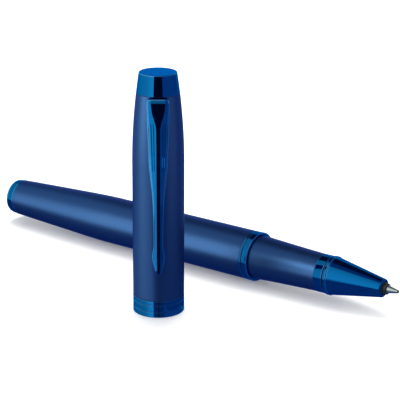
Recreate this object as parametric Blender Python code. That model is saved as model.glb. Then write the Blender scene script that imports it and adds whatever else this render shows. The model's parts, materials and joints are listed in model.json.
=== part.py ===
"""A capped rollerball pen with its cap off.

The pen lies on its centre ring along X with its writing tip towards +X. The cap stands beside it on its
mouth, on the -Y side, with its clip turned towards the front. Everything stands on Z = 0.

Turned pieces are given as outlines of (station, radius) in millimetres. On the pen a station is the
distance in front of the rear edge of the centre ring; on the cap it is the height above the mouth.
"""

import math

import bmesh
import bpy
from mathutils import Euler

MM = 0.001

# Facets round a turned piece: outside shells, hidden or slim pieces, and the smallest ones.
SHELL_FACETS = 40
INNER_FACETS = 24
SMALL_FACETS = 16
FILLET_STEPS = 3
CHAMFER_BELOW = 0.24
MERGE_DISTANCE = 0.0001

# Driving dimensions, in millimetres.
CAP_HEIGHT = 60.0
CAP_RADIUS = 6.28
CAP_BORE = 5.85
CAP_SHOULDER = 37.5
CAP_SHOULDER_CURVE = 0.0034
CAP_WALL = 0.5
CROWN_JOINT = 55.0
CAP_RING_HEIGHT = 4.15
CAP_RING_GROOVES = (1.45, 3.1)

RING_RADIUS = 6.42
BARREL_RADIUS = 6.36
BARREL_TAPER_START = -46.0
BARREL_TAPER_SLOPE = 0.0465
BARREL_TAPER_EASE = 0.25
BARREL_WALL = 0.65
BARREL_JOINT = -79.85
BARREL_END = -82.74

RING_FRONT = 2.44
GRIP_REAR_RADIUS = 5.7
GRIP_SLOPE = 1.08
GRIP_HOLLOW = 0.2
COLLAR_REAR = 21.6
COLLAR_FRONT = 23.98
COLLAR_RADIUS = 4.87
CONE_REAR = 24.3
CONE_FRONT = 39.35
STOP_FRONT = 40.4
TIP_END = 43.4

REFILL_RADIUS = 2.95
REFILL_REAR = -70.0
BALL_RADIUS = 0.36

SLEEVE_BORE = 3.15
THREAD_RADIUS = 4.95
THREAD_BORE = 5.08
GAP = 0.04

# Where the cap stands, seen from the pen: its place along the pen, its distance to the side, and the
# direction that its clip faces.
CAP_STATION = -6.47
CAP_SIDE = 31.17
CLIP_HEADING = math.radians(-52.0)

# The clip, from its top to its end: (height, half width, outer face's distance from the cap's axis,
# thickness).
CLIP_STATIONS = (
    (54.85, 2.25, 6.85, 1.15),
    (54.45, 2.62, 7.0, 1.3),
    (53.9, 2.74, 7.06, 1.3),
    (50.0, 2.64, 7.38, 0.95),
    (44.0, 2.44, 7.74, 0.9),
    (39.0, 2.25, 7.92, 0.9),
    (35.5, 1.95, 7.98, 0.9),
    (32.0, 1.6, 8.0, 0.9),
    (28.0, 1.36, 8.0, 0.9),
    (22.0, 1.2, 7.96, 0.9),
    (18.5, 1.24, 7.9, 0.95),
    (16.0, 1.5, 7.84, 1.3),
    (14.2, 1.56, 7.74, 1.38),
    (12.6, 1.22, 7.5, 0.95),
    (11.7, 0.5, 7.25, 0.5),
)
CLIP_RIDGE_WIDTH = 0.45
CLIP_EDGE_DROP = 0.32
CLIP_SLOT_HALF_WIDTH = 2.2
CLIP_PIVOT_RADIUS = 5.0
CLIP_PIVOT_HEIGHT = 54.0

SPRING_REAR = -76.45
SPRING_FRONT = -70.1
SPRING_RADIUS = 2.1
SPRING_WIRE_RADIUS = 0.2
SPRING_TURNS = 5
SPRING_POINTS_PER_TURN = 14


def cap_radius(height):
    """The cap's outside: straight up to the shoulder, then drawing in to the crown."""
    above = max(0.0, height - CAP_SHOULDER)
    return CAP_RADIUS - CAP_SHOULDER_CURVE * above * above


def barrel_radius(station):
    """The barrel's outside: straight for half its length, then an even taper to its end."""
    behind = max(0.0, BARREL_TAPER_START - station)
    return BARREL_RADIUS - (math.hypot(BARREL_TAPER_EASE, BARREL_TAPER_SLOPE * behind) - BARREL_TAPER_EASE)


def grip_radius(station):
    """The grip's outside, slightly hollow between the centre ring and the collar."""
    share = (station - RING_FRONT) / (COLLAR_REAR - RING_FRONT)
    return GRIP_REAR_RADIUS - GRIP_SLOPE * share + GRIP_HOLLOW * share * share


def stations(first, last, steps):
    return [first + (last - first) * step / steps for step in range(steps + 1)]


def outline_along(radius_at, first, last, steps):
    """Points (station, radius) along a shell whose radius follows a formula."""
    return [(station, radius_at(station)) for station in stations(first, last, steps)]


def rounded(points, closed):
    """Replaces each point (station, radius, fillet) with a short arc of that fillet."""
    result = []
    count = len(points)
    for index, point in enumerate(points):
        is_end = not closed and index in (0, count - 1)
        if len(point) == 2 or is_end:
            result.append(point[:2])
            continue
        here = complex(point[0], point[1])
        before = complex(*points[index - 1][:2]) - here
        after = complex(*points[(index + 1) % count][:2]) - here
        fillet = min(point[2], 0.49 * abs(before), 0.49 * abs(after))
        start = here + before / abs(before) * fillet
        end = here + after / abs(after) * fillet
        steps = 1 if fillet < CHAMFER_BELOW else FILLET_STEPS
        for step in range(steps + 1):
            share = step / steps
            corner = start * (1 - share) ** 2 + here * 2 * share * (1 - share) + end * share**2
            result.append((corner.real, corner.imag))
    return result


def material(name, colour, roughness, metallic):
    """One Principled BSDF for each piece, so that every piece can be recoloured by itself."""
    made = bpy.data.materials.new(name)
    made.use_nodes = True
    shader = made.node_tree.nodes["Principled BSDF"]
    shader.inputs["Base Color"].default_value = (*colour, 1.0)
    shader.inputs["Roughness"].default_value = roughness
    shader.inputs["Metallic"].default_value = metallic
    made.diffuse_color = (*colour, 1.0)
    return made


SATIN_BLUE = ((0.018, 0.045, 0.16), 0.38, 0.9)
GLOSS_BLUE = ((0.0, 0.09, 0.34), 0.08, 1.0)
BLACK_PLASTIC = ((0.012, 0.012, 0.013), 0.45, 0.0)
GREY_PLASTIC = ((0.32, 0.33, 0.35), 0.5, 0.0)
CLEAR_PLASTIC = ((0.72, 0.74, 0.76), 0.35, 0.0)
STEEL = ((0.6, 0.6, 0.6), 0.3, 1.0)
BRASS = ((0.72, 0.5, 0.2), 0.32, 1.0)
CARBIDE = ((0.05, 0.05, 0.055), 0.2, 1.0)
RUBBER = ((0.02, 0.02, 0.022), 0.7, 0.0)
FELT = ((0.06, 0.08, 0.3), 0.9, 0.0)


def empty(name, location, rotation):
    made = bpy.data.objects.new(name, None)
    made.location = location
    made.rotation_euler = rotation
    made.empty_display_size = 0.005
    bpy.context.scene.collection.objects.link(made)
    return made


def piece_from(mesh_builder, name, parent, base, look):
    """Makes a named object from a bmesh in millimetres whose origin is base along its parent's Z."""
    bmesh.ops.translate(mesh_builder, verts=mesh_builder.verts, vec=(0.0, 0.0, -base))
    bmesh.ops.scale(mesh_builder, verts=mesh_builder.verts, vec=(MM, MM, MM))
    mesh = bpy.data.meshes.new(name)
    mesh_builder.to_mesh(mesh)
    mesh_builder.free()
    made = bpy.data.objects.new(name, mesh)
    made.parent = parent
    made.location = (0.0, 0.0, base * MM)
    mesh.materials.append(material(name, *look))
    bpy.context.scene.collection.objects.link(made)
    return made


def turned(name, parent, points, look, facets=SHELL_FACETS):
    """Spins an outline about the parent's Z.

    An outline that starts and ends on the axis makes a solid bar. Any other outline is closed first and
    makes a ring or a tube. Points are (station, radius) or (station, radius, fillet).
    """
    on_axis = points[0][1] == 0.0 and points[-1][1] == 0.0
    outline = rounded(points, closed=not on_axis)
    builder = bmesh.new()
    verts = [builder.verts.new((radius, 0.0, station)) for station, radius in outline]
    edges = [builder.edges.new(pair) for pair in zip(verts, verts[1:])]
    if not on_axis:
        edges.append(builder.edges.new((verts[-1], verts[0])))
    bmesh.ops.spin(
        builder,
        geom=verts + edges,
        cent=(0.0, 0.0, 0.0),
        axis=(0.0, 0.0, 1.0),
        angle=math.tau,
        steps=facets,
        use_merge=True,
    )
    bmesh.ops.remove_doubles(builder, verts=builder.verts, dist=MERGE_DISTANCE)
    bmesh.ops.recalc_face_normals(builder, faces=builder.faces)
    made = piece_from(builder, name, parent, points[0][0], look)
    made.data.shade_smooth()
    made.data.set_sharp_from_angle(angle=math.radians(30))
    return made


def box_cutter(name, parent, low, high):
    """A hidden box in millimetres, used to cut or to add to a piece."""
    builder = bmesh.new()
    bmesh.ops.create_cube(builder, size=1.0)
    size = [(top - bottom) for bottom, top in zip(low, high)]
    centre = [(top + bottom) / 2 for bottom, top in zip(low, high)]
    bmesh.ops.scale(builder, verts=builder.verts, vec=size)
    bmesh.ops.translate(builder, verts=builder.verts, vec=centre)
    made = piece_from(builder, name, parent, 0.0, STEEL)
    made.hide_render = True
    made.display_type = "WIRE"
    return made


def boolean(target, cutter, operation):
    modifier = target.modifiers.new(operation.lower(), "BOOLEAN")
    modifier.operation = operation
    modifier.solver = "EXACT"
    modifier.object = cutter


# ---- cap -------------------------------------------------------------------------------------------


def make_cap_tube(cap):
    """The cap's metal tube, with a turned-down neck for the mouth ring and a slot for the clip."""
    neck_radius = 6.06
    outside = outline_along(cap_radius, CAP_SHOULDER, CROWN_JOINT - GAP, 7)
    inside_shape = outline_along(cap_radius, CAP_SHOULDER, CROWN_JOINT - GAP, 3)
    inside = [(height, radius - CAP_WALL) for height, radius in inside_shape]
    points = [(1.0, CAP_BORE), (1.0, neck_radius), (CAP_RING_HEIGHT + GAP, neck_radius)]
    points += [(CAP_RING_HEIGHT + GAP, CAP_RADIUS, 0.08)]
    points += outside
    points += list(reversed(inside))
    points += [(CAP_SHOULDER - 2.0, CAP_BORE)]
    tube = turned("cap_tube", cap, points, SATIN_BLUE)
    slot_bottom = 53.3
    cutter = box_cutter(
        "clip_slot",
        cap,
        (3.0, -CLIP_SLOT_HALF_WIDTH, slot_bottom),
        (9.0, CLIP_SLOT_HALF_WIDTH, CAP_HEIGHT),
    )
    boolean(tube, cutter, "DIFFERENCE")


def make_cap_crown(cap):
    """The bright tapered crown: flat on top, with a short spigot below and a bore for its stud."""
    spigot_radius = 4.4
    stud_bore = 1.55
    points = [(54.65, stud_bore), (54.65, spigot_radius), (CROWN_JOINT, spigot_radius)]
    points += [(CROWN_JOINT, cap_radius(CROWN_JOINT) - 0.02, 0.1)]
    points += [(57.6, cap_radius(57.6)), (CAP_HEIGHT, cap_radius(CAP_HEIGHT), 0.35)]
    points = [(58.2, 0.0), (58.2, stud_bore)] + points + [(CAP_HEIGHT, 0.0)]
    turned("cap_crown", cap, points, GLOSS_BLUE)


def make_crown_fixings(cap):
    """The stud that draws the crown down, the disc that holds the clip's heel, and their nut."""
    stud_radius = 1.5
    points = [(50.2, 0.0), (50.2, stud_radius, 0.2), (58.1, stud_radius, 0.2), (58.1, 0.0)]
    turned("crown_stud", cap, points, BRASS, INNER_FACETS)
    disc_radius = 4.3
    points = [(52.5, stud_radius + 0.1), (52.5, disc_radius), (53.35, disc_radius)]
    points += [(53.35, stud_radius + 0.1)]
    turned("clip_retainer", cap, points, STEEL, INNER_FACETS)
    nut_radius = 2.9
    points = [(50.6, stud_radius + 0.1), (50.6, nut_radius), (52.4, nut_radius)]
    points += [(52.4, stud_radius + 0.1)]
    nut = turned("crown_nut", cap, points, BRASS, INNER_FACETS)
    flat_distance = 2.5
    for side in range(6):
        cutter = box_cutter(f"nut_flat_{side}", nut, (flat_distance, -3.0, -1.0), (4.0, 3.0, 3.0))
        cutter.rotation_euler = Euler((0.0, 0.0, side * math.tau / 6))
        boolean(nut, cutter, "DIFFERENCE")


def make_inner_cap(cap):
    """The plastic liner whose mouth grips the pen's front collar and keeps the tip from drying."""
    points = [(18.0, 5.0, 0.2), (18.0, 5.65, 0.2), (38.0, 5.65), (46.0, 5.1, 0.3), (46.0, 0.0)]
    points = [(44.8, 0.0), (44.8, 4.9, 0.3)] + [(19.5, 4.95)] + points
    turned("inner_cap", cap, points, BLACK_PLASTIC, INNER_FACETS)


def make_cap_ring(cap):
    """The bright ring pressed over the tube's neck, with two turned grooves."""
    groove_half_width = 0.14
    groove_depth = 0.16
    ring_radius = CAP_RADIUS + 0.02
    points = [(0.0, CAP_BORE, 0.08), (0.0, ring_radius, 0.25)]
    for height in CAP_RING_GROOVES:
        points += [(height - groove_half_width, ring_radius)]
        points += [(height, ring_radius - groove_depth), (height + groove_half_width, ring_radius)]
    points += [(CAP_RING_HEIGHT, ring_radius, 0.08), (CAP_RING_HEIGHT, 6.1), (0.95, 6.1)]
    points += [(0.95, CAP_BORE)]
    turned("cap_ring", cap, points, GLOSS_BLUE)


def clip_section(builder, height, half_width, outer, thickness):
    """One cross-section of the clip: flat behind, with sloping sides and a narrow ridge in front."""
    inner = outer - thickness
    ridge = min(CLIP_RIDGE_WIDTH, 0.4 * half_width)
    edge = outer - min(CLIP_EDGE_DROP, 0.5 * thickness)
    half = [(inner, half_width - 0.12), (edge, half_width), (outer, ridge)]
    section = [(radius, -side) for radius, side in half] + [(radius, side) for radius, side in reversed(half)]
    return [builder.verts.new((radius, side, height)) for radius, side in section]


def make_clip(cap, clip_pivot):
    """The spring clip: a tapered strip with a rounded end, and a heel that goes in through the slot."""
    builder = bmesh.new()
    sections = [clip_section(builder, *station) for station in CLIP_STATIONS]
    rings = []
    for section in sections:
        rings.append([builder.edges.new((a, b)) for a, b in zip(section, section[1:] + section[:1])])
    for upper, lower in zip(rings, rings[1:]):
        bmesh.ops.bridge_loops(builder, edges=upper + lower)
    builder.faces.new(sections[0])
    builder.faces.new(sections[-1])
    bmesh.ops.recalc_face_normals(builder, faces=builder.faces)
    bmesh.ops.translate(builder, verts=builder.verts, vec=(-CLIP_PIVOT_RADIUS, 0.0, 0.0))
    clip = piece_from(builder, "clip", clip_pivot, CLIP_PIVOT_HEIGHT, GLOSS_BLUE)
    clip.location = (0.0, 0.0, 0.0)
    heel_half_width = 1.9
    heel_inner = 3.3
    heel_outer = 6.2
    heel_half_thickness = 0.4
    heel = box_cutter(
        "clip_heel",
        clip_pivot,
        (heel_inner - CLIP_PIVOT_RADIUS, -heel_half_width, -heel_half_thickness),
        (heel_outer - CLIP_PIVOT_RADIUS, heel_half_width, heel_half_thickness),
    )
    boolean(clip, heel, "UNION")


# ---- barrel ----------------------------------------------------------------------------------------


def make_barrel_tube(pen):
    """The long metal tube: straight in front, tapering behind, thin-walled throughout."""
    front = -GAP
    outside = outline_along(barrel_radius, BARREL_JOINT, BARREL_TAPER_START, 8)
    inside_shape = outline_along(barrel_radius, BARREL_JOINT, BARREL_TAPER_START, 2)
    inside = [(station, radius - BARREL_WALL) for station, radius in inside_shape]
    points = outside + [(front, BARREL_RADIUS, 0.1), (front, BARREL_RADIUS - BARREL_WALL)]
    points += list(reversed(inside))
    turned("barrel_tube", pen, points, SATIN_BLUE)


def make_barrel_end_cap(pen):
    """The bright end piece: a rounded button with a hollow spigot pressed into the tube."""
    rim = barrel_radius(BARREL_JOINT)
    seat = BARREL_JOINT - GAP
    spigot_front = -77.6
    spigot_radius = 4.3
    spigot_bore = 3.3
    points = [(BARREL_END, 0.0), (BARREL_END, rim - 0.25, 0.7), (seat, rim, 0.08), (seat, spigot_radius)]
    points += [(spigot_front, spigot_radius, 0.15), (spigot_front, spigot_bore), (-79.0, spigot_bore)]
    points += [(-79.0, 0.0)]
    turned("barrel_end_cap", pen, points, GLOSS_BLUE)


def make_barrel_thread_insert(pen):
    """The internally threaded bush in the barrel's mouth."""
    bush_radius = BARREL_RADIUS - BARREL_WALL - 0.05
    points = [(-12.5, THREAD_BORE, 0.15), (-12.5, bush_radius), (-0.4, bush_radius, 0.1)]
    points += [(-0.4, THREAD_BORE, 0.1)]
    turned("barrel_thread_insert", pen, points, BRASS, INNER_FACETS)


def make_spring_seat(pen):
    """The disc and pin that centre the spring behind the refill."""
    points = [(-77.5, 0.0), (-77.5, 3.9, 0.15), (-76.5, 3.9, 0.15), (-76.5, 1.4), (-74.2, 1.4, 0.4)]
    points += [(-74.2, 0.0)]
    turned("spring_seat", pen, points, BLACK_PLASTIC, INNER_FACETS)


# ---- grip section ----------------------------------------------------------------------------------


def make_centre_trim_ring(pen):
    """The thin bright ring at the barrel's mouth."""
    points = [(0.0, THREAD_BORE), (0.0, 6.38, 0.08), (0.6, 6.38, 0.08), (0.6, THREAD_BORE)]
    turned("centre_trim_ring", pen, points, GLOSS_BLUE)


def make_section_ring(pen):
    """The wide bright ring in the middle of the pen, bevelled down to the grip."""
    bore = 4.4
    points = [(0.65, bore), (0.65, 6.1), (0.85, 6.1), (0.85, RING_RADIUS, 0.1)]
    points += [(RING_FRONT - 0.55, RING_RADIUS, 0.12), (RING_FRONT, GRIP_REAR_RADIUS + 0.12, 0.05)]
    points += [(RING_FRONT, bore)]
    turned("section_ring", pen, points, GLOSS_BLUE)


def make_section_thread_sleeve(pen):
    """The plastic core of the grip: threaded behind, where the barrel screws on, and smooth in front."""
    points = [(-11.0, SLEEVE_BORE), (-11.0, THREAD_RADIUS, 0.3), (-0.8, THREAD_RADIUS, 0.15)]
    points += [(-0.8, 4.7), (0.6, 4.7), (0.6, 4.3), (23.9, 4.3, 0.2), (23.9, SLEEVE_BORE)]
    turned("section_thread_sleeve", pen, points, BLACK_PLASTIC, INNER_FACETS)


def make_grip_tube(pen):
    """The metal shell of the grip, slightly hollow along its length."""
    bore = 4.35
    outside = outline_along(grip_radius, RING_FRONT + GAP, COLLAR_REAR - GAP, 8)
    points = [(outside[0][0], bore)] + outside + [(outside[-1][0], bore)]
    turned("grip_tube", pen, points, SATIN_BLUE)


def make_grip_collar(pen):
    """The bright band at the front of the grip, which the inner cap closes on."""
    bore = 4.35
    points = [(COLLAR_REAR, bore), (COLLAR_REAR, COLLAR_RADIUS, 0.06)]
    points += [(COLLAR_FRONT, COLLAR_RADIUS, 0.12), (COLLAR_FRONT, bore)]
    turned("grip_collar", pen, points, GLOSS_BLUE)


def make_section_o_ring(pen):
    """The black sealing ring in the groove between the collar and the nose cone."""
    points = [(24.02, 4.0), (24.02, 4.62, 0.08), (24.26, 4.62, 0.08), (24.26, 4.0)]
    turned("section_o_ring", pen, points, RUBBER, INNER_FACETS)


def make_nose_cone(pen):
    """The long bright nose, with a low flange behind and a rounded rim in front."""
    mouth = 1.78
    flange_radius = 5.02
    points = [(CONE_REAR, 3.2), (CONE_REAR, flange_radius, 0.12), (25.1, flange_radius, 0.12)]
    points += [(25.25, 4.84), (38.8, 2.38, 0.3), (CONE_FRONT, 1.9, 0.15), (CONE_FRONT, mouth)]
    points += [(38.2, mouth), (37.0, 2.0), (28.0, 3.2)]
    turned("nose_cone", pen, points, GLOSS_BLUE)


def make_nose_bush(pen):
    """The plastic guide inside the nose cone that centres the refill."""
    points = [(26.5, 2.25), (26.5, 3.1, 0.1), (28.0, 3.1), (33.4, 2.35), (33.4, 2.15)]
    turned("nose_bush", pen, points, GREY_PLASTIC, INNER_FACETS)


# ---- refill ----------------------------------------------------------------------------------------


def make_refill_shell(pen):
    """The refill's tube, its rear plug with a vent, and its black front end."""
    tube_bore = 2.55
    tube_rear = REFILL_REAR + 0.9
    tube_front = 20.0
    points = [(tube_rear, tube_bore), (tube_rear, REFILL_RADIUS, 0.1), (tube_front, REFILL_RADIUS, 0.1)]
    points += [(tube_front, tube_bore)]
    turned("refill_tube", pen, points, CLEAR_PLASTIC, INNER_FACETS)
    vent = 0.4
    points = [(REFILL_REAR, vent), (REFILL_REAR, REFILL_RADIUS, 0.3), (tube_rear - GAP, REFILL_RADIUS)]
    points += [(tube_rear - GAP, 2.45), (-66.0, 2.45, 0.1), (-66.0, vent)]
    turned("refill_rear_plug", pen, points, BLACK_PLASTIC, INNER_FACETS)
    bore = 0.95
    points = [(14.0, bore), (14.0, 2.45, 0.1), (tube_front + GAP, 2.45), (tube_front + GAP, REFILL_RADIUS)]
    points += [(24.4, REFILL_RADIUS, 0.15), (24.4, 2.05), (33.0, 2.05, 0.2), (36.5, 1.6), (39.4, 1.6, 0.15)]
    points += [(39.4, bore)]
    turned("refill_nose", pen, points, BLACK_PLASTIC, INNER_FACETS)


def make_refill_point(pen):
    """The small black stop ring, the steel point and the writing ball."""
    points = [(39.45, 0.95), (39.45, 1.42, 0.1), (STOP_FRONT, 1.38, 0.2), (STOP_FRONT, 0.95)]
    turned("refill_stop_ring", pen, points, BLACK_PLASTIC, INNER_FACETS)
    wick_bore = 0.4
    socket = 0.4
    shoulder = STOP_FRONT + GAP
    points = [(36.0, wick_bore), (36.0, 0.9, 0.1), (shoulder, 0.9), (shoulder, 1.02), (42.55, 0.56)]
    points += [(43.12, 0.47), (43.12, socket)]
    turned("refill_tip", pen, points, STEEL, SMALL_FACETS)


def make_writing_ball(ball_pivot):
    builder = bmesh.new()
    bmesh.ops.create_uvsphere(builder, u_segments=SMALL_FACETS, v_segments=10, radius=BALL_RADIUS)
    ball = piece_from(builder, "writing_ball", ball_pivot, 0.0, CARBIDE)
    ball.data.shade_smooth()


def make_refill_filling(pen):
    """The felt ink reservoir and the wick that carries ink to the ball."""
    points = [(-65.5, 0.0), (-65.5, 2.45, 0.2), (13.9, 2.45, 0.2), (13.9, 0.0)]
    turned("ink_reservoir", pen, points, FELT, INNER_FACETS)
    points = [(14.0, 0.0), (14.0, 0.32), (42.6, 0.32), (42.6, 0.0)]
    turned("feed_wick", pen, points, FELT, SMALL_FACETS)


def make_refill_spring(pen):
    """A coil of round wire between the spring seat and the refill's plug."""
    curve = bpy.data.curves.new("refill_spring", "CURVE")
    curve.dimensions = "3D"
    curve.bevel_depth = SPRING_WIRE_RADIUS * MM
    curve.bevel_resolution = 1
    curve.use_fill_caps = True
    spline = curve.splines.new("POLY")
    count = SPRING_TURNS * SPRING_POINTS_PER_TURN + 1
    spline.points.add(count - 1)
    first = SPRING_REAR + SPRING_WIRE_RADIUS
    last = SPRING_FRONT - SPRING_WIRE_RADIUS
    for index in range(count):
        share = index / (count - 1)
        angle = SPRING_TURNS * math.tau * share
        station = first + (last - first) * share
        place = (SPRING_RADIUS * math.cos(angle), SPRING_RADIUS * math.sin(angle), station)
        spline.points[index].co = (*[value * MM for value in place], 1.0)
    curve.materials.append(material("refill_spring", *STEEL))
    spring = bpy.data.objects.new("refill_spring", curve)
    spring.parent = pen
    bpy.context.scene.collection.objects.link(spring)


def clip_reach_to_the_side():
    """How far the clip's corners stand out from the cap's axis towards -Y."""
    reach = 0.0
    for _, half_width, outer, thickness in CLIP_STATIONS:
        edge = outer - min(CLIP_EDGE_DROP, 0.5 * thickness)
        corner = edge * math.sin(-CLIP_HEADING) + half_width * math.cos(CLIP_HEADING)
        reach = max(reach, corner)
    return reach


def main():
    for existing in list(bpy.data.objects):
        bpy.data.objects.remove(existing)

    # The origin is below the middle of the whole object's box.
    middle_station = (BARREL_END + TIP_END) / 2
    pen_side = (CAP_SIDE + clip_reach_to_the_side() - RING_RADIUS) / 2
    pen = empty(
        "pen_axis",
        (-middle_station * MM, pen_side * MM, RING_RADIUS * MM),
        Euler((0.0, math.pi / 2, 0.0)),
    )
    cap = empty(
        "cap_axis",
        ((CAP_STATION - middle_station) * MM, (pen_side - CAP_SIDE) * MM, 0.0),
        Euler((0.0, 0.0, CLIP_HEADING)),
    )
    clip_pivot = empty("clip_pivot", (CLIP_PIVOT_RADIUS * MM, 0.0, CLIP_PIVOT_HEIGHT * MM), Euler())
    clip_pivot.parent = cap
    ball_pivot = empty("ball_pivot", (0.0, 0.0, (TIP_END - BALL_RADIUS) * MM), Euler())
    ball_pivot.parent = pen

    make_cap_tube(cap)
    make_cap_crown(cap)
    make_crown_fixings(cap)
    make_inner_cap(cap)
    make_cap_ring(cap)
    make_clip(cap, clip_pivot)

    make_barrel_tube(pen)
    make_barrel_end_cap(pen)
    make_barrel_thread_insert(pen)
    make_spring_seat(pen)

    make_centre_trim_ring(pen)
    make_section_ring(pen)
    make_section_thread_sleeve(pen)
    make_grip_tube(pen)
    make_grip_collar(pen)
    make_section_o_ring(pen)
    make_nose_cone(pen)
    make_nose_bush(pen)

    make_refill_shell(pen)
    make_refill_point(pen)
    make_writing_ball(ball_pivot)
    make_refill_filling(pen)
    make_refill_spring(pen)


main()
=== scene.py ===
"""Builds the looks of a capped rollerball pen round its CAD frame.

The pen lies along X with its writing tip towards +X, and its cap stands beside it. Turned pieces are spun
from outlines of (station, radius) in millimetres. A station on the pen is counted forwards from the rear
edge of the thin centre ring; on the cap it is the height above the mouth.
"""

import json
import math

import bmesh
import bpy
from bpy.props import FloatProperty, FloatVectorProperty, IntProperty, PointerProperty
from mathutils import Matrix, Vector


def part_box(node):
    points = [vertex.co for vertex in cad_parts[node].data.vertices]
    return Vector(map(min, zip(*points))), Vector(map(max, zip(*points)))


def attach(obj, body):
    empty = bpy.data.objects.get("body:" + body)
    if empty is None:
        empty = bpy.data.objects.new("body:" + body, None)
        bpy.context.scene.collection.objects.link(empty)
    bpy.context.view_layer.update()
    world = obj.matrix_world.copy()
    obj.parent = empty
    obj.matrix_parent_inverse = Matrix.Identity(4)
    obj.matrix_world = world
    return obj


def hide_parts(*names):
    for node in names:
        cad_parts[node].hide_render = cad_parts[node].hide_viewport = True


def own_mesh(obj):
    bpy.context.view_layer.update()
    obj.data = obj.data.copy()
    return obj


bl_info = {
    "name": "Rollerball pen",
    "version": (1, 0, 0),
    "blender": (4, 5, 0),
    "location": "3D View > Sidebar > Pen",
    "description": "Turned shells, clip, refill, finishes and studio for a capped rollerball pen",
    "category": "Object",
}

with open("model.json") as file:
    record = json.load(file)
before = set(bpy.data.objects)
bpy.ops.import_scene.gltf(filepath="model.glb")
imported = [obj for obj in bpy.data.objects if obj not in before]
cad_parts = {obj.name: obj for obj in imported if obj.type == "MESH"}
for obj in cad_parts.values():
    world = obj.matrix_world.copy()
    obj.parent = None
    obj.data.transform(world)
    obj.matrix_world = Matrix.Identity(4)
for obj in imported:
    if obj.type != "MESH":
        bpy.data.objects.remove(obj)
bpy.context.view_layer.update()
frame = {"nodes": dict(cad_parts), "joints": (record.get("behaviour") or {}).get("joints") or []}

MM = 0.001


def middle(node):
    low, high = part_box(node)
    return (low + high) / 2


def pen_span(node):
    """The stations of a pen node's rear and front ends."""
    low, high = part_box(node)
    return (low.x - PEN_ZERO) / MM, (high.x - PEN_ZERO) / MM


def cap_span(node):
    """The heights of a cap node's lower and upper ends."""
    low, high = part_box(node)
    return low.z / MM, high.z / MM


def pen_radius(node):
    low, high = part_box(node)
    return (high.y - low.y) / 2 / MM


PEN_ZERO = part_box("centre_trim_ring")[0].x
PEN_MIDDLE = middle("section_ring")
PEN_PLACE = (
    Matrix.Translation((PEN_ZERO, PEN_MIDDLE.y, PEN_MIDDLE.z))
    @ Matrix.Rotation(math.pi / 2, 4, "Y")
    @ Matrix.Scale(MM, 4)
)
CAP_FOOT = Vector((middle("cap_ring").x, middle("cap_ring").y, 0.0))
JOINTS = {joint["name"]: joint for joint in frame["joints"]}
CLIP_JOINT = JOINTS["clip_flex"]
CLIP_OUTWARDS = Vector(CLIP_JOINT["pos_m"]) - CAP_FOOT
CAP_PLACE = (
    Matrix.Translation(CAP_FOOT)
    @ Matrix.Rotation(math.atan2(CLIP_OUTWARDS.y, CLIP_OUTWARDS.x), 4, "Z")
    @ Matrix.Scale(MM, 4)
)

# How far apart neighbouring pieces stay, in millimetres.
GAP = 0.04

# The camera's direction from the cap, in plan, and the dim blue that fills the studio's dark sides.
TOWARDS = math.radians(38.0)
FILL = (0.05, 0.13, 0.29)


# ---- settings a user would change ------------------------------------------------------------------


def length(name, description, default):
    return FloatProperty(name=name, description=description, default=default, min=0.0, unit="NONE")


def colour(name, description, default):
    return FloatVectorProperty(
        name=name, description=description, default=default, subtype="COLOR", size=3, min=0.0, max=1.0
    )


class PenSizes(bpy.types.PropertyGroup):
    """Sizes in millimetres that give the shells their shape."""

    facets: IntProperty(name="Facets", description="Facets round a shell", default=160, min=24, max=512)
    cap_shoulder: length("Cap shoulder", "Height where the cap starts to draw in", 37.5)
    cap_curve: length("Cap curve", "How fast the cap draws in above its shoulder, per mm", 0.0034)
    cap_wall: length("Cap wall", "Wall of the cap's tube", 0.45)
    barrel_wall: length("Barrel wall", "Wall of the barrel's tube", 0.65)
    barrel_taper_start: FloatProperty(
        name="Taper start", description="Station where the barrel's taper starts", default=-46.0
    )
    barrel_taper_slope: length("Taper slope", "Slope of the barrel's taper", 0.0465)
    barrel_taper_ease: length("Taper ease", "How softly the taper starts", 0.25)
    grip_rear_radius: length("Grip radius", "Radius of the grip at its rear", 5.7)
    grip_slope: length("Grip slope", "How much the grip narrows forwards", 1.08)
    grip_hollow: length("Grip hollow", "How hollow the grip is along its length", 0.2)
    edge: length("Edge", "Rounding of a bright ring's edges", 0.09)


class PenColours(bpy.types.PropertyGroup):
    """The finishes' colours."""

    satin_blue: colour("Satin blue", "Lacquer of the barrel, grip and cap", (0.022, 0.07, 0.23))
    bright_blue: colour("Bright blue", "Coating of the rings, clip, nose and crown", (0.004, 0.14, 0.4))
    black: colour("Black", "Moulded black plastic", (0.012, 0.012, 0.013))
    grey: colour("Grey", "Moulded grey plastic", (0.3, 0.31, 0.33))
    milky: colour("Milky", "The refill's tube", (0.74, 0.76, 0.78))
    steel: colour("Steel", "Turned stainless steel", (0.56, 0.55, 0.53))
    brass: colour("Brass", "Turned brass", (0.74, 0.52, 0.22))
    carbide: colour("Hard metal", "The writing ball", (0.03, 0.03, 0.035))
    rubber: colour("Rubber", "The sealing ring", (0.015, 0.015, 0.017))
    felt: colour("Felt", "The ink-soaked fibre", (0.02, 0.03, 0.16))


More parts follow.
